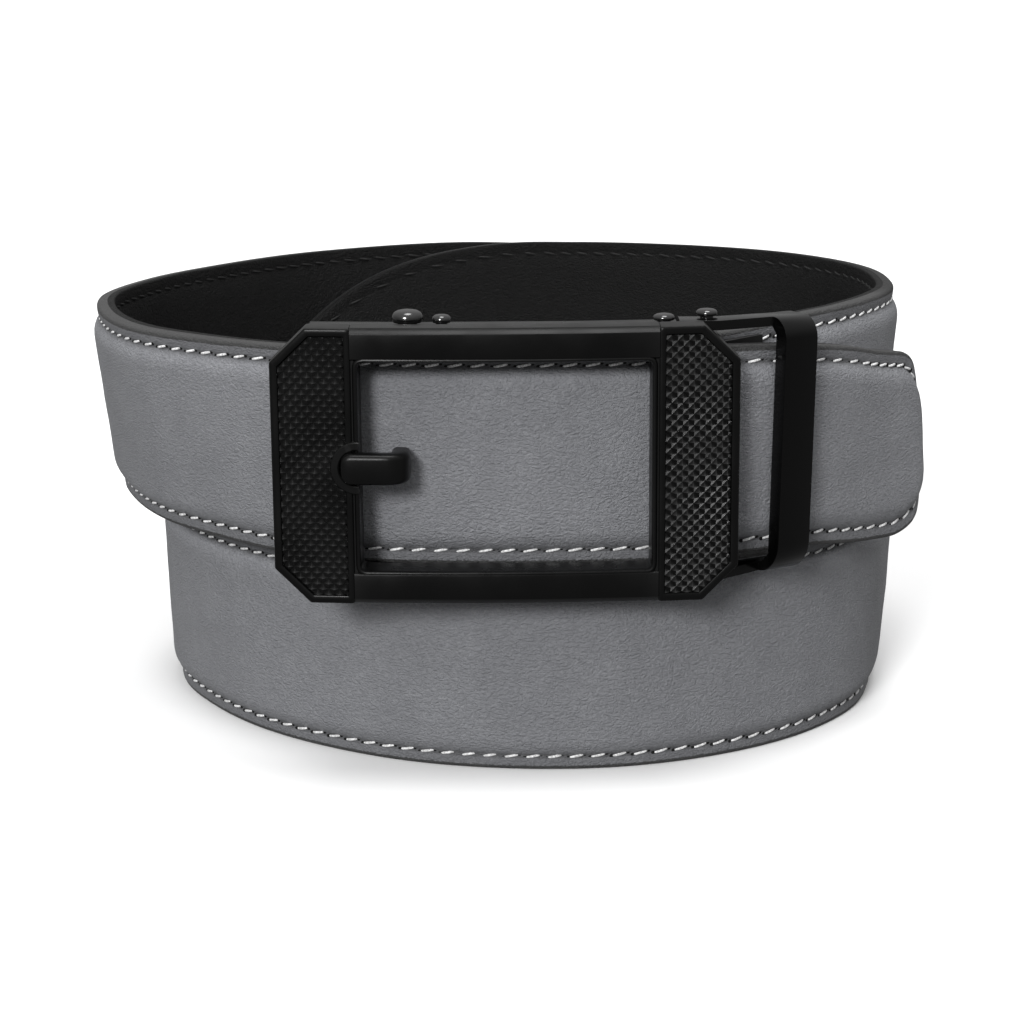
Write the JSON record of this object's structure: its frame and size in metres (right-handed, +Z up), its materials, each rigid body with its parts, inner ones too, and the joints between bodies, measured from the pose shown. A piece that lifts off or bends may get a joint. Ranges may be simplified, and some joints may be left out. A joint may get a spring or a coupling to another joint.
{
  "type": "ratchet belt",
  "caption": "Fastened leather ratchet belt doubled into two stacked turns, standing on edge, with a framed buckle, case, clamp and keeper.",
  "frame": {"origin": "middle of the belt's bounding box in plan, on the surface that it stands on", "axes": "+Z up, +X to the right of someone facing the buckle, -Y towards the buckle's face"},
  "size_m": [0.1462, 0.1518, 0.0763],
  "materials": {
    "grey_leather": "satin",
    "black_leather": "satin",
    "black_plastic": "satin",
    "black_metal": "satin",
    "gloss_black_metal": "gloss"
  },
  "bodies": {
    "root": {"strap_outer": "grey_leather", "strap_lining": "black_leather", "ratchet_track": "black_plastic", "buckle_frame": "black_metal", "prong": "black_metal", "mechanism_case": "black_metal", "pawl": "black_metal", "end_clamp": "black_metal", "keeper_loop": "gloss_black_metal", "pin_large": "black_metal", "pin_small": "black_metal", "pin_right": "black_metal", "pin_keeper": "black_metal"}
  },
  "joints": []
}
